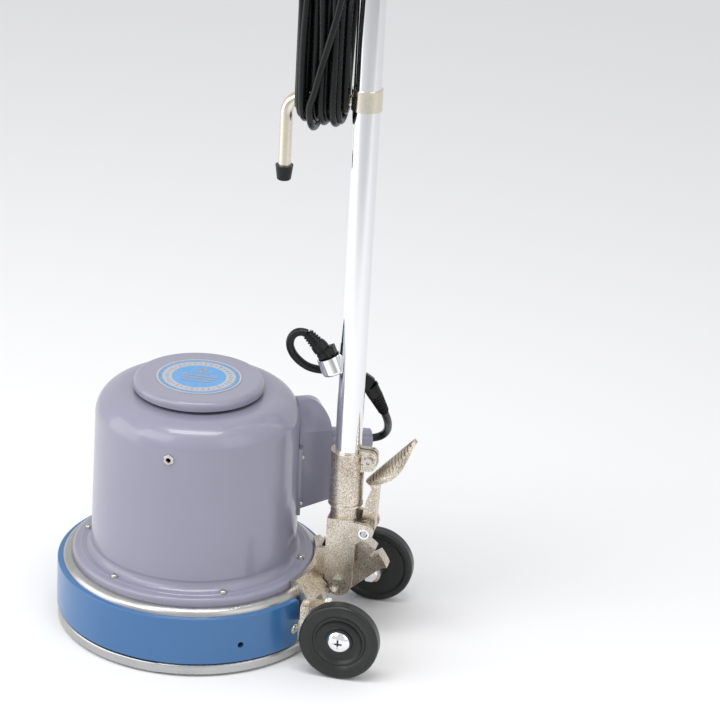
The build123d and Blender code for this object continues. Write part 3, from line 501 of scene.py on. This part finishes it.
def hank_route():
    """The mains cord: its tail, seven inner turns, seven loose outer turns, and its last run to the plug."""
    points = list(CORD_TAIL) + [(217.6, -20.5, 1066.0), (216.6, -17.0, 1046.0)]
    inner = [(217 - 12 * k, 216.4 - 12 * k, 16.2, 0.0, 0.0) for k in range(7)]
    outer = [
        (146.0, 148.5, 27.6, 1.0, 1.0), (159.0, 154.5, 36.6, -3.0, -3.0), (168.5, 170.5, 27.8, 4.0, 1.5),
        (177.5, 183.5, 36.8, 0.0, 2.5), (190.5, 188.0, 27.6, 5.0, -1.0), (197.0, 201.5, 36.4, 1.0, 3.0),
        (209.5, 208.0, 28.0, 5.0, -1.0),
    ]
    turns = inner + outer
    for k, (top_x, low_x, r, drop, bulge) in enumerate(turns):
        low_out = low_x - 3 if k < 7 else low_x + 3
        if k:
            points += run((top_x, -r, HIGH_Z), (low_x, -r, LOW_Z), bulge)
        else:
            points += [(216.5, -r, 1000.0), (216.4, -r, 948.0)]
        points += half_turn(low_x, low_out, r, False, drop)
        if k + 1 < len(turns):
            next_x, next_r = turns[k + 1][0], turns[k + 1][2]
        else:
            next_x, next_r = 214.0, 45.0
        back = (next_x, next_r, HIGH_Z)
        points += run((low_out, r, LOW_Z), back)
        points += half_turn(next_x, next_x, next_r, True)
    points += [(208.0, -46.5, 1062.0), (197.0, -47.0, 1015.0), (184.0, -47.0, 965.0), (174.0, -46.0, 920.0)]
    points += half_turn(168.0, 171.0, 45.0, False, 2.0)
    points += [(173.0, 45.0, 922.0), (177.0, 45.0, 938.0), (180.0, 45.0, 952.0)]
    return points


RIB_DEPTH = 2.2  # millimetres


def ribbed(length, r0, r1, ribs):
    """A strain relief's profile: a taper cut by grooves."""
    profile = [(0, 0), (r0, 0)]
    step = length / ribs
    for i in range(ribs):
        z = i * step
        r = r0 + (r1 - r0) * (i + 0.3) / ribs
        groove = r - RIB_DEPTH
        profile += [(r, z + step * 0.06), (r, z + step * 0.56)]
        profile += [(groove, z + step * 0.62), (groove, z + step * 0.98)]
    return profile + [(r1 - 0.5, length), (0, length)]


def between(a, b, roll=0.0):
    a, b = Vector(a) / 1000, Vector(b) / 1000
    return Matrix.Translation(a) @ turn_to(b - a, roll), (b - a).length * 1000


def make_outlet_plug(made):
    """The lead's plug in the outlet, with its ribbed boot and latch."""
    boot = Piece("outlet_plug")
    boot_at, boot_length = between((193.0, 0, 499.0), (172.0, 0.0, 519.0))
    ribs = [(r, z + 5) for r, z in ribbed(boot_length - 5, 11.9, 9.2, 5)[2:]]
    boot.lathe([(0, 0), (12.4, 0), (12.7, 3), (12.3, 5)] + ribs, boot_at)
    elbow_at, elbow = between((212.5, 0, 475.5), (193.0, 0, 499.0))
    boot.lathe([(0, 0), (12.6, 0), (12.9, 1), (12.9, elbow - 9), (11.6, elbow - 8), (11.6, elbow - 6),
                (13.0, elbow - 5), (13.1, elbow), (11.6, elbow + 6), (7, elbow + 10.6), (0, elbow + 12.6)],
               elbow_at, 48)
    latch_at = Matrix.Translation((0.212, 0, 0.4945)) @ Matrix.Rotation(math.radians(-24.5), 4, "Y")
    boot.prism([(-6, -7.6), (-5, -8.4), (5, -8.4), (6.4, -7), (6.4, 7), (5, 8.4), (-5, 8.4), (-6, 7.6)],
               -9.4, 8.4, latch_at)
    boot.prism([(-4, -5), (4.6, -5), (4.6, 5), (-4, 5)], 8.2, 9.4, latch_at)
    boot = boot.done(made["black_rubber"], "black_rubber", "handle")
    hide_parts("lead_boot")
    return boot


def make_connector(made):
    """The in-line connector behind the tube, with a boot at each end."""
    joint = Piece("inline_connector")
    near_at, near = between((225.0, 40.0, 446.5), (243.0, 41.5, 441.0))
    waves = [(9.4 + 3.6 * i / 8 + (0.9 if i % 2 else -0.5), 1 + (near - 3) * i / 8) for i in range(9)]
    joint.lathe([(0, 0), (8.6, 0), (9.2, 1)] + waves + [(13.4, near), (0, near)], near_at)
    body_at, body = between((242.0, 41.5, 441.5), (269.0, 43.0, 424.5), 0.2)
    joint.lathe([(0, 0), (12.6, 0), (14.3, 2), (14.5, 11), (13.2, 12), (13.2, 14), (14.5, 15),
                 (14.5, body - 3), (13, body), (0, body)], body_at, 8)
    low_at, low = between((268.0, 43.0, 425.0), (277.0, 46.5, 408.0))
    joint.lathe([(0, 0), (13.2, 0), (13.4, 3), (12.2, 4), (12.2, 9), (11.6, low), (0, low)], low_at, 48)
    end_at, end = between((277.0, 46.5, 408.5), (290.0, 59.0, 377.0))
    joint.lathe(ribbed(end, 11.6, 8.3, 7), end_at)
    joint = joint.done(made["black_rubber"], "black_rubber", "handle")
    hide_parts("lead_connector")
    return joint


def make_mains_plug(made):
    plug = Piece("mains_plug")
    rear_at, rear = between((180.0, 45.0, 952.0), (180.0, 50.5, 984.0))
    plug.lathe(ribbed(rear * 0.72, 8.0, 12.5, 6), rear_at)
    front_at, front = between((180.0, 49.0, 975.0), (180.0, 51.5, 1007.0))
    plug.lathe([(0, 0), (12.6, 0), (16.0, 5), (16.8, 12), (15.4, 18), (16.8, 24), (17, front - 1.5),
                (16, front), (0, front)], front_at)
    plug = plug.done(made["black_rubber"], "black_rubber", "handle")
    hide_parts("power_plug")
    return plug


def make_plug_pins(made):
    pins = Piece("plug_pins")
    for side in (-9.5, 9.5):
        pin_at, pin = between((180.0 + side, 51.4, 1006.0), (180.0 + side, 52.8, 1025.0))
        pins.lathe([(0, 0), (2.4, 0), (2.4, pin - 2), (1.3, pin), (0, pin)], pin_at, 24)
    return pins.done(made["brass"], "black_plastic", "handle")


def add_cords(made):
    rubber = made["black_rubber"]
    hank = spline("mains_cord", metres(hank_route()), 0.0055)
    hank.data.materials.append(rubber)
    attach(hank, "handle")
    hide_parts("power_cord_tail", "power_cord_hank")

    upper = spline("motor_lead_loop", metres(LEAD_TOP), 0.0065)
    upper.data.materials.append(rubber)
    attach(upper, "handle")
    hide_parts("motor_lead_upper")

    guide = spline("guide", metres(LEAD_LOW))
    path = line_of(guide)
    bpy.data.objects.remove(guide)
    lower = Piece("motor_lead_drop").tube(path, 0.0065, 20).done(rubber, "black_rubber")
    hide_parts("motor_lead_lower")

    boot = make_outlet_plug(made)
    joint = make_connector(made)
    plug = make_mains_plug(made)
    pins = make_plug_pins(made)
    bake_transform(lower)


# ---------------------------------------------------------------- details

def add_badge(made):
    """Raised ticks, dashes and bars on the round plate, with no lettering."""
    z = 420.5
    marks = Piece("badge_marks")
    for i in range(72):
        at = Matrix.Rotation(math.radians(5 * i), 4, "Z")
        marks.prism([(59.2, -0.65), (63.6, -0.8), (63.6, 0.8), (59.2, 0.65)], z + 0.5, z + 1.15, at)
    for i in range(36):
        at = Matrix.Rotation(math.radians(10 * i + 2), 4, "Z")
        tall = 2.4 + 1.2 * math.sin(i * 2.4)
        marks.prism([(50.8 - tall, -1.6), (50.8 + tall, -1.1), (50.8 + tall, 1.1), (50.8 - tall, 1.6)],
                    z + 0.8, z + 1.35, at)
    for y, half in ((14, 12), (2, 30), (-8, 27), (-18, 20)):
        at = Matrix.Translation((0, y / 1000, 0))
        bar = [(-half, -1.7), (half, -1.7), (half + 1.7, 0), (half, 1.7), (-half, 1.7), (-half - 1.7, 0)]
        marks.prism(bar, z + 0.5, z + 1.2, at)
    marks.lathe([(4.5, z + 0.5), (4.5, z + 1.2), (7, z + 1.2), (7, z + 0.5), (4.5, z + 0.5)],
                Matrix.Translation((0, 0.026, 0)), 32)
    marks.done(made["badge_silver"], "cast_aluminium", "base", 20)


def add_small_parts(made):
    """The rivet nut in the cover's wall, and near-black pieces of painted shade: crosses on the wheel screws
    for their shaded cross recesses, and cups in the band's holes for their shaded sockets.
    """
    turn = Matrix.Rotation(math.radians(-91), 4, "Z")
    out = Matrix.Rotation(math.radians(90), 4, "Y")
    nut = Piece("cover_rivet_nut")
    nut.lathe([(3.9, -4), (3.9, 2.2), (4.5, 3.0), (8.0, 2.8), (9.2, 1.6), (9.2, -2.5), (4.1, -2.6), (4.1, -4),
               (3.9, -4)],
              turn @ Matrix.Translation((0.1632, 0, 0.348)) @ out, 6)
    nut.done(made["zinc_steel"], "zinc_steel", "base")
    # painted shade: thin near-black crosses laid on the wheel screws' heads, where the cross recesses lie in
    # shade
    for side, name in ((1, "wheel_screw_painted_shade_right"), (-1, "wheel_screw_painted_shade_left")):
        outward = Matrix.Rotation(math.radians(-90 * side), 4, "X")
        at = Matrix.Translation((0.276, side * 0.1468, 0.064)) @ outward
        cross = Piece(name)
        cross.prism([(-5.6, -1.35), (5.6, -1.35), (5.6, 1.35), (-5.6, 1.35)], 3.65, 3.95, at)
        cross.prism([(-1.35, -5.6), (1.35, -5.6), (1.35, 5.6), (-1.35, 5.6)], 3.66, 3.96, at)
        cross.done(made["dark"], "black_plastic", "base")
    # painted shade: near-black cups set in the band's holes, where the holes lie in shade
    for side, name in ((1, "band_hole_painted_shade_right"), (-1, "band_hole_painted_shade_left")):
        at = Matrix.Rotation(math.radians(55 * side), 4, "Z") @ Matrix.Translation((0.2121, 0, 0.053)) @ out
        sock = Piece(name)
        sock.lathe([(0, 0), (4.6, 0), (4.6, 2.6), (3.9, 3.0), (2.3, 3.0), (2.0, 1.0), (0, 0.8)], at, 24)
        sock.done(made["dark"], "black_plastic", "base")


# ---------------------------------------------------------------- stage

FLOOR_PALE, FLOOR_GREY = (0.87, 0.87, 0.875, 1), (0.6, 0.6, 0.61, 1)
FLOOR_REACH = 4.0  # metres in front of the machine that the floor's gradient spans


def add_floor():
    """A pale floor that gets greyer well in front of the machine, where the chrome tube mirrors it."""
    mat = bpy.data.materials.new("studio_floor")
    mat.use_nodes = True
    tree = mat.node_tree
    shader = tree.nodes["Principled BSDF"]
    place = tree.nodes.new("ShaderNodeTexCoord")
    ahead = tree.nodes.new("ShaderNodeVectorMath")
    ahead.operation = "DOT_PRODUCT"
    ahead.inputs[1].default_value = (0.191 / FLOOR_REACH, -0.982 / FLOOR_REACH, 0)
    tree.links.new(place.outputs["Object"], ahead.inputs[0])
    shade = tree.nodes.new("ShaderNodeValToRGB")
    shade.color_ramp.interpolation = "EASE"
    stops = shade.color_ramp.elements
    stops[0].position, stops[0].color = 0.29, FLOOR_PALE
    stops[1].position, stops[1].color = 0.58, FLOOR_GREY
    tree.links.new(ahead.outputs["Value"], shade.inputs["Fac"])
    tree.links.new(shade.outputs["Color"], shader.inputs["Base Color"])
    shader.inputs["Roughness"].default_value = 0.75
    shader.inputs["Specular IOR Level"].default_value = 0.15
    mesh = bpy.data.meshes.new("studio_floor")
    mesh.from_pydata([(-30, -30, 0), (30, -30, 0), (30, 30, 0), (-30, 30, 0)], [], [(0, 1, 2, 3)])
    mesh.materials.append(mat)
    floor = bpy.data.objects.new("studio_floor", mesh)
    bpy.context.scene.collection.objects.link(floor)


def add_lights():
    world = bpy.data.worlds.new("studio")
    bpy.context.scene.world = world
    world.use_nodes = True
    back = world.node_tree.nodes["Background"]
    back.inputs["Color"].default_value = (0.98, 0.985, 1.0, 1)
    back.inputs["Strength"].default_value = 0.74

    for name, place, target, size, power in (
        ("key", (-2.0, -2.6, 2.9), (0, 0, 0.3), (2.6, 2.2), 40),
        ("top", (0.1, -0.75, 3.1), (0, 0, 0.3), (2.0, 0.75), 34),
        ("fill", (2.6, -1.6, 1.8), (0, 0, 0.4), (2.0, 2.6), 12),
        ("side", (-3.0, -0.9, 1.1), (0, 0, 0.3), (2.6, 2.4), 30),
    ):
        light = bpy.data.lights.new(name, "AREA")
        light.shape, light.size, light.size_y, light.energy = "RECTANGLE", *size, power
        lamp = bpy.data.objects.new(name, light)
        bpy.context.scene.collection.objects.link(lamp)
        lamp.matrix_world = Matrix.Translation(place) @ turn_to(Vector(place) - Vector(target))
    bpy.context.scene.view_settings.view_transform = "Standard"


set_camera()
finishes = make_materials()
dress_cad(finishes)
add_cords(finishes)
add_badge(finishes)
add_small_parts(finishes)
add_floor()
add_lights()
